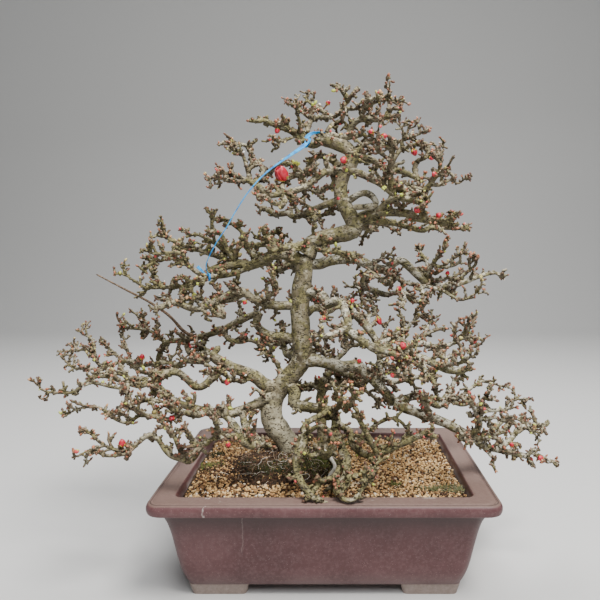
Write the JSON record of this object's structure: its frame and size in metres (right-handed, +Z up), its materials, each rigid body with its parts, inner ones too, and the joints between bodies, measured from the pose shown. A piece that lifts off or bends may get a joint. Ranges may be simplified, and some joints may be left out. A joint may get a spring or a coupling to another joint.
{
  "type": "flowering quince bonsai in a pot",
  "caption": "Small-leaved flowering quince bonsai in winter bud: gnarled trunk, stepped crown of bare twigs and red buds, in soil in a footed rectangular clay pot.",
  "frame": {"origin": "bottom centre of the whole tree and pot, on the surface that the pot stands on", "axes": "+Z up, +X along the pot's long side, to the right as the picture shows it, +Y to the back"},
  "size_m": [0.6304, 0.274, 0.5702],
  "materials": {
    "pot_clay": "unglazed, satin",
    "soil": "rough grains",
    "bark": "rough bark",
    "flower": "waxy petals in bud",
    "screen": "moulded mesh",
    "tape": "satin tape"
  },
  "bodies": {
    "root": {"pot": "pot_clay", "pot_foot_front_left": "pot_clay", "pot_foot_back_left": "pot_clay", "pot_foot_front_right": "pot_clay", "pot_foot_back_right": "pot_clay", "drain_screen_left": "screen", "drain_screen_right": "screen", "soil": "soil", "tree_wood": "bark", "flower_bud_01": "flower", "flower_bud_02": "flower", "flower_bud_03": "flower", "flower_bud_04": "flower", "flower_bud_05": "flower", "flower_bud_06": "flower", "flower_bud_07": "flower", "flower_bud_08": "flower", "flower_bud_09": "flower", "flower_bud_10": "flower", "flower_bud_11": "flower", "flower_bud_12": "flower", "flower_bud_13": "flower", "flower_bud_14": "flower", "flower_bud_15": "flower", "flower_bud_16": "flower", "flower_bud_17": "flower", "flower_bud_18": "flower", "flower_bud_19": "flower", "flower_bud_20": "flower", "flower_bud_21": "flower", "flower_bud_22": "flower", "flower_bud_23": "flower", "flower_bud_24": "flower", "flower_bud_25": "flower", "flower_bud_26": "flower", "flower_bud_27": "flower", "flower_bud_28": "flower", "guy_ribbon": "tape"}
  },
  "joints": []
}
